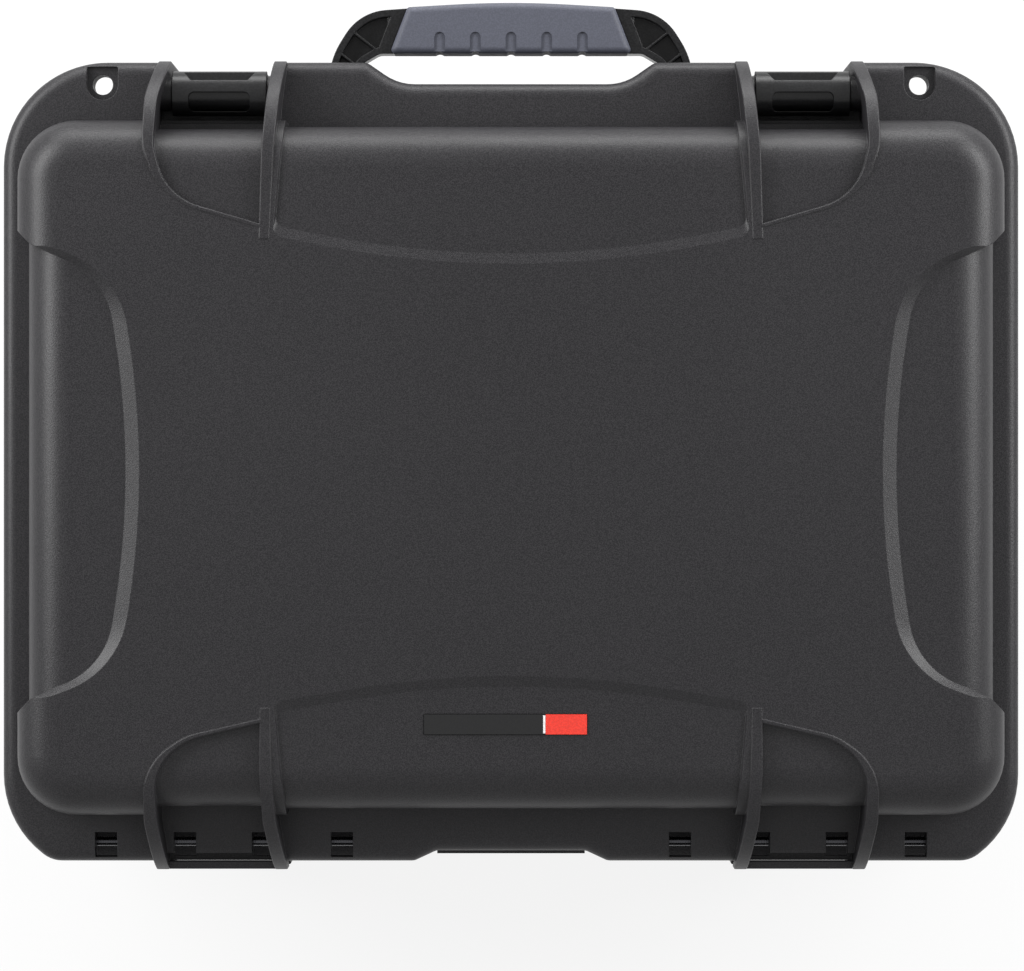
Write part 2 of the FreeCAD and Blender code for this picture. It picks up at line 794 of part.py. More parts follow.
def base_shell():
    shell = flange(back_notch_depth, base_flange_radius)
    shell = shell.multiFuse([shell_body(base_face)])
    axis_in = hinge_y - hinge_relief_inboard
    shell = shell.cut(box(-half_width - overcut, half_width + overcut, axis_in, back_y + overcut,
                          -overcut, hinge_relief_depth))
    shell = shell.cut(rod(-half_width, half_width, hinge_y, 0.0, hinge_barrel_radius + knuckle_gap))
    for cutter in both_sides([latch_bay(keeper_inset(), -overcut)]):
        shell = shell.cut(cutter)
    ribs = shell_ribs(base_rib_points, 0.0, rib_relief_depth)
    tab_low = hinge_relief_depth + rear_tab_gap
    tab_root = body_back - centre_field_wall_depth - wall / 2.0
    tab = box(-back_notch_floor / 2.0, back_notch_floor / 2.0, tab_root, back_y - rear_tab_edge,
              tab_low, tab_low + rear_tab_thickness)
    web_root = body_back - bay_field_wall_depth - wall / 2.0
    web = box(hinge_start, hinge_end, web_root, back_y + hinge_web_overhang,
              hinge_web_depth, hinge_web_depth + hinge_web_thickness)
    boss = y_disc(vent_seat(), vent_inner_seat(), vent_boss_radius)
    shell = shell.multiFuse(ribs + both_sides(base_hinge_parts() + handle_ears() + [web]) + [tab])
    shell = shell.cut(cavity(base_face)).fuse(boss)
    shell = shell.fuse(seal_ring(tongue_width, -tongue_height, fuse_overlap))
    ear_start, ear_end = handle_pin_span()
    hinge_bore = rod(hinge_start, hinge_end, hinge_y, 0.0, hinge_pin_radius + pin_press_gap)
    handle_bore = rod(ear_start, ear_end, handle_y, handle_pin_drop, handle_pin_radius + pin_press_gap)
    vent_bore = y_disc(vent_seat() - overcut, vent_inner_seat() + overcut, vent_stem_radius + vent_stem_gap)
    bores = both_sides([hinge_bore, handle_bore]) + [vent_bore]
    for cutter in padlock_cutters(1.0) + padlock_cutters(-1.0) + bores:
        shell = shell.cut(cutter)
    return shell.removeSplitter().mirror(ORIGIN, MIRROR_Z)


def gasket():
    width = groove_width - 2.0 * seal_side_gap
    return seal_ring(width, tongue_height + seal_squeeze_gap, groove_depth)


def hinge_pin():
    inner = hinge_start + hinge_end_wall + bore_end_gap
    outer = hinge_end - hinge_end_wall - bore_end_gap
    return rod(inner, outer, hinge_y, 0.0, hinge_pin_radius)


def latch_pin_span():
    """From inside the inner rib to just under the outside of the outer rib."""
    inner = line_x(front_inner_line, latch_pin_inset) - front_inner_line[0][2] / 2.0
    outer = line_x(front_outer_line, latch_pin_inset - latch_pin_radius) + front_outer_line[0][2]
    return inner, outer - latch_pin_cover


def latch_pin():
    inner, outer = latch_pin_span()
    return rod(inner, outer - bore_end_gap, latch_y, latch_pin_height, latch_pin_radius)


def latch_centre():
    inner, outer = latch_span()
    return (inner + outer) / 2.0


def lever_edges(plate, back):
    """Edges along the two sides of a lever's front face and tip."""
    edges = []
    for edge in plate.Edges:
        bounds = edge.BoundBox
        along_side = bounds.XMax - bounds.XMin < tolerance
        below_hub = bounds.ZMin < latch_pin_height - tolerance
        if along_side and below_hub and bounds.YMax < back - tolerance:
            edges.append(edge)
    return edges


def latch_lever():
    """Hub round the pin, flat lever in front of both flanges and the hook behind it."""
    inner, outer = latch_span()
    centre = latch_centre()
    front = latch_y - latch_hub_radius
    back = front + latch_plate_thickness
    hub_top = latch_pin_height + latch_hub_radius
    hub = rod(inner, outer, latch_y, latch_pin_height, latch_hub_radius)
    tip = -latch_plate_drop
    bend = tip + latch_tip_rise
    plate = side_profile([
        (front, latch_pin_height, 0.0),
        (back, latch_pin_height, 0.0),
        (back, bend, latch_tip_bend),
        (back - latch_tip_flare, tip, latch_tip_radius),
        (front - latch_tip_flare, tip, latch_tip_radius),
        (front, bend, latch_tip_bend),
    ], inner, outer)
    plate = plate.makeFillet(latch_edge_radius, lever_edges(plate, back))
    hook_top = -flange_thickness - latch_hook_gap
    hook = side_profile([
        (back - fuse_overlap, hook_top, 0.0),
        (back + latch_hook_reach, hook_top, latch_hook_edge),
        (back + latch_hook_reach, hook_top - latch_hook_height / 2.0, latch_hook_edge),
        (back - fuse_overlap, hook_top - latch_hook_height, 0.0),
    ], inner + latch_hook_side, outer - latch_hook_side)
    lever = hub.fuse(plate).fuse(hook)
    bore_radius = latch_pin_radius + pin_running_gap
    lever = lever.cut(rod(inner - overcut, outer + overcut, latch_y, latch_pin_height, bore_radius))
    cap_end = front + latch_cap_length
    cap = prism([
        (centre - latch_cap_width / 2.0, front, 0.0),
        (centre + latch_cap_width / 2.0, front, 0.0),
        (centre + latch_cap_inner_width / 2.0, cap_end, 0.0),
        (centre - latch_cap_inner_width / 2.0, cap_end, 0.0),
    ], hub_top - latch_cap_depth, hub_top + overcut)
    pill_start = latch_y + latch_pill_offset
    pill_end = pill_start + latch_pill_length
    outline = rounded_rectangle(latch_pill_width / 2.0, pill_start, pill_end, latch_pill_radius)
    pill = prism(outline, 0.0, hub_top + overcut).translated(Vec(centre, 0, 0))
    pill = pill.cut(rod(inner, outer, latch_y, latch_pin_height, latch_hub_radius - latch_pill_depth))
    return lever.cut(cap).cut(pill).cut(lock_seat())


def lock_box(side, top, height, depth, proud):
    centre = latch_centre()
    front = latch_y - latch_hub_radius
    half = side / 2.0
    return box(centre - half, centre + half, front - proud, front + depth, top - height, top)


def lock_seat():
    height = lock_height + lock_travel + 2.0 * lock_gap
    return lock_box(lock_width + 2.0 * lock_gap, lock_gap - lock_top, height, lock_depth, overcut)


def slide_lock():
    """Sliding lock in the face of the lever, with finger ridges across it."""
    slider = lock_box(lock_width, -lock_top, lock_height, lock_depth, lock_proud)
    front = latch_y - latch_hub_radius - lock_proud
    face_edges = [edge for edge in slider.Edges if edge.BoundBox.YMax < front + tolerance]
    slider = slider.makeFillet(lock_edge_radius, face_edges)
    pitch = lock_height / (lock_ridge_count + 1)
    centre = latch_centre()
    half = lock_width / 2.0 - lock_ridge_margin
    for i in range(lock_ridge_count):
        height = -lock_top - pitch * (i + 1)
        slider = slider.fuse(rod(centre - half, centre + half, front, height, lock_ridge_height / 2.0))
    return slider


def handle_outline(spread):
    """Plan of the handle from above, both sides, grown or shrunk by a distance."""
    inner, outer = handle_arm_span()
    tail = handle_y + handle_eye_radius
    right = [
        (outer, tail, 0.0),
        (outer, front_y - handle_knee_reach, handle_knee_radius),
        (handle_shoulder_x, front_y - handle_shoulder_reach, handle_shoulder_radius),
    ]
    left = [(-x, y, radius) for x, y, radius in reversed(right)]
    top = [(0.0, front_y - handle_reach, handle_bow_radius)]
    outside = inset(right + top + left, -spread)
    finger = [
        (inner, tail + overcut, 0.0),
        (inner, front_y + handle_inner_knee, handle_inner_radius),
        (handle_inner_x, front_y - handle_inner_reach, handle_inner_radius),
    ]
    finger = finger + [(-x, y, radius) for x, y, radius in reversed(finger)]
    return outside, inset(finger, spread)


def handle_loop(spread, half_height):
    outside, finger = handle_outline(spread)
    level = -handle_pin_drop
    loop = prism(outside, level - half_height, level + half_height)
    return loop.cut(prism(finger, level - half_height - overcut, level + half_height + overcut))


def grip_outline(shrink):
    """Plan of the grip from above, shrunk by a distance."""
    far = front_y - handle_reach
    near = front_y - handle_inner_reach
    return inset([
        (-grip_foot_half, near, grip_corner_radius),
        (grip_foot_half, near, grip_corner_radius),
        (grip_top_half, far + grip_bow, grip_corner_radius),
        (0.0, far, grip_bow_radius),
        (-grip_top_half, far + grip_bow, grip_corner_radius),
    ], shrink)


def grip_core(gap):
    """The bar inside the grip, grown by a gap."""
    half = grip_core_height / 2.0 + gap
    reach = grip_foot_half + grip_core_overlap
    far = front_y - handle_reach + grip_core_inset - gap
    near = front_y - handle_inner_reach - grip_core_inset + gap
    return box(-reach, reach, far, near, -handle_pin_drop - half, -handle_pin_drop + half)


def handle_frame():
    """Two arms with sunk webs and cross ribs, joined by the core under the grip."""
    inner, outer = handle_arm_span()
    half = handle_arm_height / 2.0
    level = -handle_pin_drop
    low = level - half - overcut
    high = level + half + overcut
    pocket = handle_loop(-handle_rim, half)
    pocket = pocket.cut(prism(grip_outline(-handle_grip_web), low, high))
    pocket = pocket.cut(rod(-outer, outer, handle_y, level, handle_eye_radius))
    bar_half = handle_cross_thickness / 2.0
    for side, reach, turn in handle_cross_ribs:
        bar = box(-handle_cross_half, handle_cross_half, -bar_half, bar_half, low, high)
        bar.rotate(ORIGIN, Vec(0, 0, 1), turn)
        bar.translate(Vec(outer - side, front_y - reach, 0))
        pocket = pocket.cut(bar).cut(mirrored(bar))
    web_half = half - handle_pocket_depth
    web = box(-handle_width, handle_width, 2.0 * front_y, 0.0, level - web_half, level + web_half)
    frame = handle_loop(0.0, half).cut(pocket.cut(web))
    frame = frame.cut(prism(grip_outline(-grip_core_gap), low, high))
    frame = frame.fuse(grip_core(0.0))
    eye_end = box(-handle_width, handle_width, handle_y, handle_y + handle_width, low, high)
    eyes = rod(-outer, outer, handle_y, level, handle_eye_radius - handle_eye_gap)
    frame = frame.cut(eye_end.cut(eyes))
    bore = rod(inner - overcut, outer + overcut, handle_y, level, handle_pin_radius + pin_running_gap)
    return frame.cut(bore).cut(mirrored(bore))


def handle_grip():
    """Soft sleeve over the core, with finger grooves along its inner edge."""
    half = grip_thickness / 2.0
    level = -handle_pin_drop
    sleeve = prism(grip_outline(0.0), level - half, level + half)
    rims = top_edges(sleeve, level + half) + top_edges(sleeve, level - half)
    sleeve = sleeve.makeFillet(grip_edge_radius, rims)
    sleeve = sleeve.cut(grip_core(grip_core_gap))
    near = front_y - handle_inner_reach
    radius = grip_groove_width / 2.0
    first = -grip_groove_pitch * (grip_groove_count - 1) / 2.0
    low = level - half - overcut
    high = level + half + overcut
    for i in range(grip_groove_count):
        x = first + i * grip_groove_pitch
        slot = [
            (x - radius, near + overcut, 0.0),
            (x + radius, near + overcut, 0.0),
            (x + radius, near - grip_groove_length, radius),
            (x - radius, near - grip_groove_length, radius),
        ]
        sleeve = sleeve.cut(prism(slot, level + half - grip_groove_depth, high))
        sleeve = sleeve.cut(prism(slot, low, level - half + grip_groove_depth))
        sleeve = sleeve.cut(post(x, near + radius - grip_groove_depth, low, high, radius))
    return sleeve


def handle_pin_span():
    inner, outer = handle_arm_span()
    return inner - ear_gap - ear_thickness, outer + ear_gap + ear_thickness


def handle_pin():
    start, end = handle_pin_span()
    return rod(start, end, handle_y, -handle_pin_drop, handle_pin_radius)


def plate_box(x0, x1, gap, low, high):
    y = back_y - plate_inset
    half = plate_width / 2.0 + gap
    return box(x0 - gap, x1 + gap, y - half, y + half, low, high)


def plate_floor():
    return lid_face - centre_field_depth - plate_sink


def plate_ends():
    tab_start = plate_start_x - plate_length - plate_divider
    return plate_start_x - plate_length, plate_start_x, tab_start - plate_tab_length, tab_start


def plate_seat():
    ends = plate_ends()
    return plate_box(ends[2], ends[1], plate_edge_gap, plate_floor(), lid_face + overcut)


def name_plate():
    """Blank plate with a raised divider that meets the coloured end tab."""
    ends = plate_ends()
    plate = plate_box(ends[0], ends[1], 0.0, plate_floor(), plate_floor() + plate_thickness)
    divider = plate_box(ends[3], ends[0], 0.0, plate_floor(), plate_floor() + plate_divider_thickness)
    return plate.fuse(divider).removeSplitter()


def name_plate_tab():
    ends = plate_ends()
    return plate_box(ends[2], ends[3], 0.0, plate_floor(), plate_floor() + plate_thickness)


def round_points(count, radius):
    """Points spread evenly round a circle."""
    angles = [2.0 * math.pi * i / count for i in range(count)]
    return [(radius * math.cos(angle), radius * math.sin(angle)) for angle in angles]


def vent_parts():
    """The vent from outside to inside: cap, body with its stem, ring, membrane and nut."""
    seat = vent_seat()
    inner = vent_inner_seat()
    flange_out = seat - vent_flange_thickness
    nut_end = inner + vent_nut_thickness
    stem_end = nut_end + vent_nut_reach
    body = y_disc(flange_out, seat, vent_flange_radius)
    body = body.fuse(y_disc(seat, stem_end, vent_stem_radius))
    body = body.cut(y_disc(flange_out - overcut, stem_end + overcut, vent_bore_radius))
    body = body.cut(y_disc(flange_out - overcut, flange_out + vent_disc_thickness, vent_disc_radius))
    ring_y = seat - vent_ring_section + vent_ring_squeeze
    groove = Part.makeTorus(vent_ring_radius, vent_ring_section, Vec(0, ring_y, vent_drop), Vec(0, 1, 0))
    body = body.cut(groove)
    ring = groove.common(y_disc(flange_out, seat, vent_flange_radius))
    membrane = y_disc(flange_out, flange_out + vent_disc_thickness, vent_disc_radius - vent_disc_gap)
    cap_front = flange_out - vent_cap_thickness
    cap = y_disc(cap_front, flange_out, vent_cap_radius)
    rim = [edge for edge in cap.Edges if edge.BoundBox.YMax < cap_front + tolerance]
    cap = cap.makeFillet(vent_cap_edge, rim)
    slot_length = vent_cap_thickness + 2.0 * overcut
    for x, height in round_points(vent_cap_slots, vent_cap_radius):
        start = Vec(x, cap_front - overcut, vent_drop + height)
        cap = cap.cut(Part.makeCylinder(vent_slot_radius, slot_length, start, Vec(0, 1, 0)))
    corners = round_points(6, vent_nut_width / math.sqrt(3.0))
    hexagon = [Vec(x, inner, vent_drop + height) for x, height in corners]
    nut = Part.Face(Part.makePolygon(hexagon + hexagon[:1])).extrude(Vec(0, vent_nut_thickness, 0))
    nut = nut.cut(y_disc(inner - overcut, nut_end + overcut, vent_stem_radius + pin_press_gap))
    parts = {
        "vent_cap": cap,
        "vent_body": body,
        "vent_ring": ring,
        "vent_membrane": membrane,
        "vent_nut": nut,
    }
    return {name: shape.mirror(ORIGIN, MIRROR_Z) for name, shape in parts.items()}


def export(name, shape):
    shape.translated(Vec(0, 0, base_height)).exportStep("parts/" + name + ".step")


def main():
    os.makedirs("parts", exist_ok=True)
    single = {
        "lid_shell": lid_shell(),
        "base_shell": base_shell(),
        "lid_gasket": gasket(),
        "name_plate": name_plate(),
        "name_plate_tab": name_plate_tab(),
        "handle_frame": handle_frame(),
        "handle_grip": handle_grip(),
    }
    single.update(vent_parts())
    paired = {
        "hinge_pin": hinge_pin(),
        "latch_lever": latch_lever(),
        "latch_pin": latch_pin(),
        "slide_lock": slide_lock(),
        "handle_pin": handle_pin(),
    }
    for name, shape in single.items():
        export(name, shape)
    for name, shape in paired.items():
        export(name + "_right", shape)
        export(name + "_left", mirrored(shape))


main()
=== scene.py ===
"""Hard case with a hinged lid: finishes, detail pieces, studio stage and camera."""
import math

import bpy
from bpy.props import FloatProperty, FloatVectorProperty, PointerProperty
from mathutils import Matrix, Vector


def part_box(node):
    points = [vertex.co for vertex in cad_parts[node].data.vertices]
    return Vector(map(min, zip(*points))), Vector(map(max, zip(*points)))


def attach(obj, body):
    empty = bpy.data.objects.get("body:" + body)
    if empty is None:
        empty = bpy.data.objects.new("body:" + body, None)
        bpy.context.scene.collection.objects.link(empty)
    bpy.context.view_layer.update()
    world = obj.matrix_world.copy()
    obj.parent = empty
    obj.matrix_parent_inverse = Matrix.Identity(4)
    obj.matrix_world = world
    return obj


bl_info = {
    "name": "Hard Case",
    "version": (1, 0, 0),
    "blender": (4, 5, 0),
    "location": "View3D > Sidebar > Hard Case",
    "description": "Dresses a moulded hard case and sets it in a plain studio",
    "category": "Object",
}

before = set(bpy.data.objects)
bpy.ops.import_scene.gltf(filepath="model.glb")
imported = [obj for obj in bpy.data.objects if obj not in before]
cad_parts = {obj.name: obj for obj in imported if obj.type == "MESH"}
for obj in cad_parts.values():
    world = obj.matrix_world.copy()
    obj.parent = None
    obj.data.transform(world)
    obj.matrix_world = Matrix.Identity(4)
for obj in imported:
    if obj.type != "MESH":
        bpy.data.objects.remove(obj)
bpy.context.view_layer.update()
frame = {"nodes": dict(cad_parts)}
NODES = frame["nodes"]

MM = 0.001
WHITE = (1.0, 1.0, 1.0, 1.0)
SIDES = ("left", "right")
LID_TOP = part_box("lid_shell")[1].z
FLANGE_LEVEL = 148.0 * MM       # top of the lid's flange, where the frame width is measured
GRAIN_TURN = (0.4, 0.3, 0.2)    # radians, so that no flat face lies along the grain's own lattice
FLOOR_RADIUS = 6.0
FLOOR_DROP = 0.5 * MM           # keeps the floor just clear of the rib feet
FLOOR_WHITE = 0.86              # share of plain white that the camera sees in the floor
STRIP_SIZE = (1.0, 0.3)
LEFT_STRIP_LIFT = 1.08          # the left strip is a little stronger than the right one


def linear(code):
    """Linear colour with full alpha from an sRGB hex code."""
    channels = [int(code[i:i + 2], 16) / 255.0 for i in (1, 3, 5)]
    curve = [c / 12.92 if c <= 0.04045 else ((c + 0.055) / 1.055) ** 2.4 for c in channels]
    return (*curve, 1.0)


def paler(colour):
    """A quarter lighter version of a linear colour, for the crests of a grain."""
    return (*(min(1.0, 1.25 * channel) for channel in colour[:3]), 1.0)


def per_metre(size_mm):
    """Texture scale whose features are about this many millimetres apart."""
    return 1000.0 / size_mm


def add_node(tree, kind, inputs=None, **settings):
    """Adds a shader node, sets it up and fills its sockets with values or links."""
    made = tree.nodes.new(kind)
    for name, value in settings.items():
        setattr(made, name, value)
    for name, value in (inputs or {}).items():
        if isinstance(value, bpy.types.NodeSocket):
            tree.links.new(value, made.inputs[name])
        else:
            made.inputs[name].default_value = value
    return made


def new_material(name):
    """An empty node material and its node tree."""
    material = bpy.data.materials.new(name)
    material.use_nodes = True
    material.node_tree.nodes.clear()
    return material, material.node_tree


def background_rays(tree):
    """Is 1 for the camera, glossy and transmission rays, which see the white background."""
    path = add_node(tree, "ShaderNodeLightPath")
    seen = path.outputs["Is Camera Ray"]
    for kind in ("Is Glossy Ray", "Is Transmission Ray"):
        both = add_node(tree, "ShaderNodeMath", {0: seen, 1: path.outputs[kind]}, operation="MAXIMUM")
        seen = both.outputs["Value"]
    return seen


def colour_prop(name, description, code):
    """A colour that a user can change, with its default as an sRGB hex code."""
    return FloatVectorProperty(name=name, description=description, subtype="COLOR", size=4,
                               min=0.0, max=1.0, default=linear(code))


class CaseShellLook(bpy.types.PropertyGroup):
    """Finish of the two moulded shells."""
    colour: colour_prop("Shell", "Main colour of the moulded shells", "#111013")
    speck: colour_prop("Speck", "Colour of the lighter specks in the grain", "#29282a")
    grain: FloatProperty(name="Grain", description="Width of the moulded grain", default=0.55 * MM,
                         min=0.2 * MM, max=5.0 * MM, unit="LENGTH", precision=5)
    roughness: FloatProperty(name="Roughness", description="Roughness of the shells", default=0.42,
                             min=0.0, max=1.0, subtype="FACTOR")


class CaseTrimLook(bpy.types.PropertyGroup):
    """Finish of the handle, the latches, the plate and the hardware."""
    latch: colour_prop("Latch", "Colour of the latch levers", "#101011")
    frame: colour_prop("Handle frame", "Colour of the handle's arms", "#0e0e0f")
    rubbed: colour_prop("Rubbed", "Colour of the grain and of rubbed edges on latches and arms", "#1c1c1d")
    grip: colour_prop("Grip", "Colour of the soft grip", "#3c3e48")
    plate: colour_prop("Plate", "Colour of the blank plate", "#121213")
    tab: colour_prop("Tab", "Colour of the plate's end tab", "#d23224")
    divider: colour_prop("Divider", "Colour of the line beside the tab", "#d8d8d8")
    divider_width: FloatProperty(name="Divider width", description="Width of the line beside the tab",
                                 default=1.1 * MM, min=0.2 * MM, max=1.3 * MM, unit="LENGTH", precision=5)
    # Pins: dark steel, with the colour kept darker still as painted shade for their place deep in the hinge
    # windows.
    steel: colour_prop("Steel", "Colour of the pins", "#434346")
    membrane: colour_prop("Membrane", "Colour of the vent's porous membrane", "#c8c8c2")
    seal: colour_prop("Seal", "Colour of the rubber seals", "#1a1a1a")


class CaseStageLook(bpy.types.PropertyGroup):
    """Camera, lights and floor."""
    distance: FloatProperty(name="Distance", description="Camera height above the flanges", default=2.5,
                            min=0.5, max=10.0, unit="LENGTH")
    frame_width: FloatProperty(name="Frame width", description="Width seen at the flanges", default=0.5085,
                               min=0.1, max=3.0, unit="LENGTH")
    centre: FloatVectorProperty(name="Centre", description="Point under the camera", size=2,
                                default=(-0.0005, 0.0119), unit="LENGTH", precision=4)
    floor: colour_prop("Floor", "Colour of the floor", "#f4f4f4")
    front_light: FloatProperty(name="Front light", description="Power of the softbox over the handle",
                               default=20.0, min=0.0, max=500.0, unit="POWER")
    side_light: FloatProperty(name="Side lights", description="Power of each strip beside the case",
                              default=15.0, min=0.0, max=500.0, unit="POWER")
    ambient: FloatProperty(name="Ambient", description="Strength of the studio's even light",
                           default=0.4, min=0.0, max=2.0)


def grained_plastic(name, colour, speck, grain, roughness, relief, gloss=0.5, edge=0.0):
    """Plastic or rubber moulded in a tool with an even grain, such as a spark-eroded one.

    The grain breaks the highlights into specks, and is drawn a little coarser than the real one so
    that it shows. Slow flow of the melt varies the sheen. Where edge is set, that radius softens the
    moulded edges, which handling has rubbed a little paler.
    """
    material, tree = new_material(name)
    coords = add_node(tree, "ShaderNodeTexCoord").outputs["Object"]
    turned = add_node(tree, "ShaderNodeMapping", {"Vector": coords, "Rotation": GRAIN_TURN})
    fine = add_node(tree, "ShaderNodeTexNoise", {
        "Vector": turned.outputs["Vector"], "Scale": 1.0 / grain, "Detail": 1.0, "Roughness": 0.5})
    flow = add_node(tree, "ShaderNodeTexNoise", {
        "Vector": coords, "Scale": per_metre(160.0), "Detail": 3.0, "Roughness": 0.5})
    specks = add_node(tree, "ShaderNodeMapRange", {
        "Value": fine.outputs["Fac"], "From Min": 0.4, "From Max": 0.62})
    tint = add_node(tree, "ShaderNodeMix", {
        "Factor": specks.outputs["Result"], "A": colour, "B": speck}, data_type="RGBA")
    sheen = add_node(tree, "ShaderNodeMapRange", {
        "Value": flow.outputs["Fac"], "From Min": 0.3, "From Max": 0.7,
        "To Min": roughness - 0.04, "To Max": roughness + 0.05})
    bump = add_node(tree, "ShaderNodeBump", {
        "Height": fine.outputs["Fac"], "Distance": relief, "Strength": 1.0})
    if edge:
        soft = add_node(tree, "ShaderNodeBevel", {"Radius": edge}, samples=6)
        tree.links.new(soft.outputs["Normal"], bump.inputs["Normal"])
        flat = add_node(tree, "ShaderNodeNewGeometry")
        turn = add_node(tree, "ShaderNodeVectorMath", {
            0: soft.outputs["Normal"], 1: flat.outputs["Normal"]}, operation="DOT_PRODUCT")
        rub = add_node(tree, "ShaderNodeMapRange", {
            "Value": turn.outputs["Value"], "From Min": 0.97, "From Max": 0.75, "To Max": 0.5})
        tint = add_node(tree, "ShaderNodeMix", {
            "Factor": rub.outputs["Result"], "A": tint.outputs["Result"], "B": speck}, data_type="RGBA")
    shader = add_node(tree, "ShaderNodeBsdfPrincipled", {
        "Base Color": tint.outputs["Result"], "Roughness": sheen.outputs["Result"],
        "IOR": 1.49, "Specular IOR Level": gloss, "Normal": bump.outputs["Normal"]})
    add_node(tree, "ShaderNodeOutputMaterial", {"Surface": shader.outputs["BSDF"]})
    return material


def steel(name, colour):
    """Cold-drawn steel rod, dark like blackened steel and darker still as painted shade for the pins deep in
    the hinge windows: fine rings round the pin from the drawing die.
    """
    material, tree = new_material(name)
    coords = add_node(tree, "ShaderNodeTexCoord").outputs["Object"]
    lines = add_node(tree, "ShaderNodeTexWave", {
        "Vector": coords, "Scale": per_metre(0.6) / math.tau, "Distortion": 0.6, "Detail": 2.0},
        bands_direction="X")
    rough = add_node(tree, "ShaderNodeMapRange", {
        "Value": lines.outputs["Fac"], "To Min": 0.2, "To Max": 0.34})
    bump = add_node(tree, "ShaderNodeBump", {
        "Height": lines.outputs["Fac"], "Distance": 0.01 * MM, "Strength": 0.5})
    shader = add_node(tree, "ShaderNodeBsdfPrincipled", {
        "Base Color": colour, "Metallic": 1.0, "Roughness": rough.outputs["Result"],
        "Normal": bump.outputs["Normal"]})
    add_node(tree, "ShaderNodeOutputMaterial", {"Surface": shader.outputs["BSDF"]})
    return material


def give(node_names, material):
    """Puts one material on each named CAD node."""
    for name in node_names:
        mesh = NODES[name].data
        mesh.materials.clear()
        mesh.materials.append(material)


class CASE_OT_shells(bpy.types.Operator):
    """Give the lid and the base their grained moulded finish"""
    bl_idname = "hard_case.shells"
    bl_label = "Shells"

    def execute(self, context):
        look = context.scene.case_shell
        # Polypropylene copolymer from a spark-eroded mould: near black, matte, with a fine grain.
        material = grained_plastic("grained_polypropylene", look.colour, look.speck, look.grain,
                                   look.roughness, 0.09 * MM, gloss=0.3, edge=0.6 * MM)
        give(("lid_shell", "base_shell"), material)
        return {"FINISHED"}


class CASE_OT_latches(bpy.types.Operator):
    """Give the latch levers and their slide locks a smoother black finish"""
    bl_idname = "hard_case.latches"
    bl_label = "Latches"

    def execute(self, context):
        look = context.scene.case_trim
        # Nylon from a smoother mould than the shells: blacker, with a clear highlight on each edge.
        material = grained_plastic("satin_nylon", look.latch, look.rubbed, 0.9 * MM, 0.3,
                                   0.03 * MM, gloss=0.3, edge=0.7 * MM)
        names = [kind + side for kind in ("latch_lever_", "slide_lock_") for side in SIDES]
        give(names, material)
        return {"FINISHED"}


class CASE_OT_handle(bpy.types.Operator):
    """Give the handle's frame and its soft grip their finishes"""
    bl_idname = "hard_case.handle"
    bl_label = "Handle"

    def execute(self, context):
        look = context.scene.case_trim
        # Nylon arms: black pockets between rims that catch the light.
        arms = grained_plastic("satin_nylon_arms", look.frame, look.rubbed, 0.9 * MM, 0.3,
                               0.03 * MM, gloss=0.2, edge=0.9 * MM)
        give(("handle_frame",), arms)
        # Thermoplastic rubber moulded over the core: blue-grey, soft and dull.
        rubber = grained_plastic("soft_touch_rubber", look.grip, paler(look.grip), 0.8 * MM, 0.62, 0.04 * MM)
        give(("handle_grip",), rubber)
        return {"FINISHED"}


class CASE_OT_plate(bpy.types.Operator):
    """Give the blank plate and its end tab their gloss finish"""
    bl_idname = "hard_case.plate"
    bl_label = "Plate"

    def execute(self, context):
        look = context.scene.case_trim
        # Polycarbonate printed on its back: smooth, with an even colour under a gloss.
        black = grained_plastic("printed_polycarbonate_black", look.plate, paler(look.plate),
                                0.8 * MM, 0.22, 0.005 * MM, gloss=0.35)
        give(("name_plate",), black)
        red = grained_plastic("printed_polycarbonate_red", look.tab, paler(look.tab),
                              0.8 * MM, 0.25, 0.005 * MM)
        give(("name_plate_tab",), red)
        self.divider(context, look)
        return {"FINISHED"}

    def divider(self, context, look):
        """A thin pale strip on the plate's lower step, between the plate and its tab."""
        low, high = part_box("name_plate")
        width, height = look.divider_width, 0.2 * MM
        end_gap, side_gap, rounding = 0.5 * MM, 0.1 * MM, 0.05 * MM
        bpy.ops.object.select_all(action="DESELECT")
        bpy.ops.mesh.primitive_cube_add(size=1.0)
        strip = context.object
        strip.name = "plate_divider"
        bpy.ops.object.mode_set(mode="EDIT")
        bpy.ops.mesh.select_all(action="SELECT")
        bpy.ops.transform.resize(value=(width, high.y - low.y - 2.0 * end_gap, height))
        bpy.ops.transform.translate(value=(low.x + side_gap + 0.5 * width, 0.5 * (low.y + high.y),
                                           high.z - 0.5 * height))
        bpy.ops.mesh.bevel(offset=rounding, offset_type="OFFSET", segments=2, affect="EDGES")
        bpy.ops.object.mode_set(mode="OBJECT")
        pale = grained_plastic("printed_polycarbonate_pale", look.divider, paler(look.divider),
                               0.8 * MM, 0.3, 0.005 * MM)
        strip.data.materials.append(pale)
        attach(strip, "lid")


class CASE_OT_hardware(bpy.types.Operator):
    """Give the pins, the seal and the vent their finishes"""
    bl_idname = "hard_case.hardware"
    bl_label = "Hardware"

    def execute(self, context):
        look = context.scene.case_trim
        pins = [kind + side for kind in ("hinge_pin_", "latch_pin_", "handle_pin_") for side in SIDES]
        give(pins, steel("drawn_steel", look.steel))
        # Extruded silicone rubber: black and dull.
        rubber = grained_plastic("sealing_rubber", look.seal, paler(look.seal), 0.6 * MM, 0.7, 0.02 * MM)
        give(("lid_gasket", "vent_ring"), rubber)
        # Nylon as on the handle's arms, a little duller.
        nylon = grained_plastic("satin_vent_nylon", look.frame, look.rubbed, 0.7 * MM, 0.4,
                                0.03 * MM, gloss=0.3)
        give(("vent_cap", "vent_body", "vent_nut"), nylon)
        # Expanded fluoropolymer sheet: off-white, chalky and porous.
        sheet = grained_plastic("porous_membrane", look.membrane, paler(look.membrane),
                                0.5 * MM, 0.8, 0.05 * MM)
        give(("vent_membrane",), sheet)
        return {"FINISHED"}


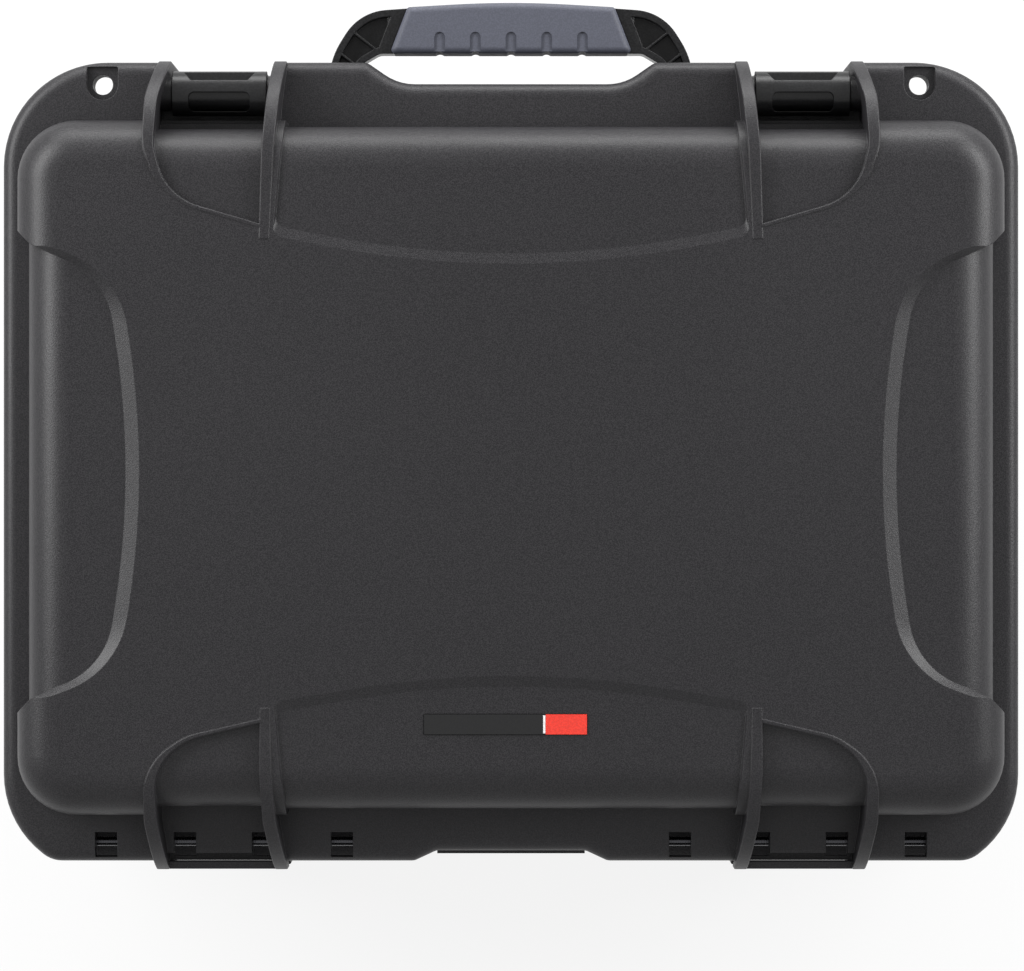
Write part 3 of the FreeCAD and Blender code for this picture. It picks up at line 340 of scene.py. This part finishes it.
class CASE_OT_stage(bpy.types.Operator):
    """Set the pale floor, the soft lights and the camera"""
    bl_idname = "hard_case.stage"
    bl_label = "Stage"

    def execute(self, context):
        look = context.scene.case_stage
        bpy.ops.object.select_all(action="DESELECT")
        bpy.ops.mesh.primitive_circle_add(vertices=96, radius=FLOOR_RADIUS, fill_type="NGON",
                                          location=(0.0, 0.0, -FLOOR_DROP))
        floor = context.object
        floor.name = "floor"
        floor.data.materials.append(self.floor_material(look))
        self.softbox("front_softbox", (0.0, -1.3, 0.34), (1.6, 0.5), look.front_light)
        self.softbox("left_strip", (0.95, -0.45, 0.66), STRIP_SIZE, LEFT_STRIP_LIFT * look.side_light)
        self.softbox("right_strip", (-0.95, -0.45, 0.62), STRIP_SIZE, look.side_light)
        self.world(context, look)
        bpy.ops.object.camera_add(location=(look.centre[0], look.centre[1], FLANGE_LEVEL + look.distance),
                                  rotation=(0.0, 0.0, math.pi))
        camera = context.object
        camera.name = "camera"
        camera.data.sensor_width = 36.0
        camera.data.lens = camera.data.sensor_width * look.distance / look.frame_width
        camera.data.clip_end = 50.0
        context.scene.camera = camera
        context.scene.view_settings.view_transform = "Standard"
        return {"FINISHED"}

    def softbox(self, name, place, size, power):
        """An area light that faces the lid's centre."""
        aim = Vector((0.0, 0.0, LID_TOP)) - Vector(place)
        turn = aim.to_track_quat("-Z", "Y").to_euler()
        bpy.ops.object.light_add(type="AREA", location=place, rotation=turn)
        lamp = bpy.context.object
        lamp.name = name
        lamp.data.shape = "RECTANGLE"
        lamp.data.size, lamp.data.size_y = size
        lamp.data.energy = power

    def floor_material(self, look):
        """Matt studio paper, shown lighter to the camera so that it reads as white."""
        material, tree = new_material("studio_paper")
        coords = add_node(tree, "ShaderNodeTexCoord").outputs["Object"]
        fibre = add_node(tree, "ShaderNodeTexNoise", {
            "Vector": coords, "Scale": per_metre(2.0), "Detail": 3.0})
        bump = add_node(tree, "ShaderNodeBump", {"Height": fibre.outputs["Fac"], "Distance": 0.02 * MM})
        paper = add_node(tree, "ShaderNodeBsdfDiffuse", {
            "Color": look.floor, "Normal": bump.outputs["Normal"]})
        white = add_node(tree, "ShaderNodeEmission", {"Color": WHITE, "Strength": 1.0})
        share = add_node(tree, "ShaderNodeMath", {0: background_rays(tree), 1: FLOOR_WHITE},
                         operation="MULTIPLY")
        mix = add_node(tree, "ShaderNodeMixShader", {
            0: share.outputs["Value"], 1: paper.outputs["BSDF"], 2: white.outputs["Emission"]})
        add_node(tree, "ShaderNodeOutputMaterial", {"Surface": mix.outputs["Shader"]})
        return material

    def world(self, context, look):
        """Even studio light, seen as white by the camera and in reflections."""
        world = bpy.data.worlds.new("studio")
        context.scene.world = world
        world.use_nodes = True
        tree = world.node_tree
        tree.nodes.clear()
        strength = add_node(tree, "ShaderNodeMapRange", {
            "Value": background_rays(tree), "To Min": look.ambient, "To Max": 1.0})
        shade = add_node(tree, "ShaderNodeBackground", {
            "Color": WHITE, "Strength": strength.outputs["Result"]})
        add_node(tree, "ShaderNodeOutputWorld", {"Surface": shade.outputs["Background"]})


class CASE_PT_panel(bpy.types.Panel):
    """Lists the steps that dress the case"""
    bl_idname = "CASE_PT_panel"
    bl_label = "Hard Case"
    bl_space_type = "VIEW_3D"
    bl_region_type = "UI"
    bl_category = "Hard Case"

    def draw(self, context):
        for operator in OPERATORS:
            self.layout.operator(operator.bl_idname)


LOOKS = {"case_shell": CaseShellLook, "case_trim": CaseTrimLook, "case_stage": CaseStageLook}
OPERATORS = (CASE_OT_shells, CASE_OT_latches, CASE_OT_handle, CASE_OT_plate, CASE_OT_hardware, CASE_OT_stage)
CLASSES = (*LOOKS.values(), *OPERATORS, CASE_PT_panel)


def register():
    for entry in CLASSES:
        bpy.utils.register_class(entry)
    for name, look in LOOKS.items():
        setattr(bpy.types.Scene, name, PointerProperty(type=look))


def unregister():
    for name in LOOKS:
        delattr(bpy.types.Scene, name)
    for entry in reversed(CLASSES):
        bpy.utils.unregister_class(entry)


def main():
    register()
    bpy.ops.hard_case.shells()
    bpy.ops.hard_case.latches()
    bpy.ops.hard_case.handle()
    bpy.ops.hard_case.plate()
    bpy.ops.hard_case.hardware()
    bpy.ops.hard_case.stage()


if __name__ == "__main__":
    main()
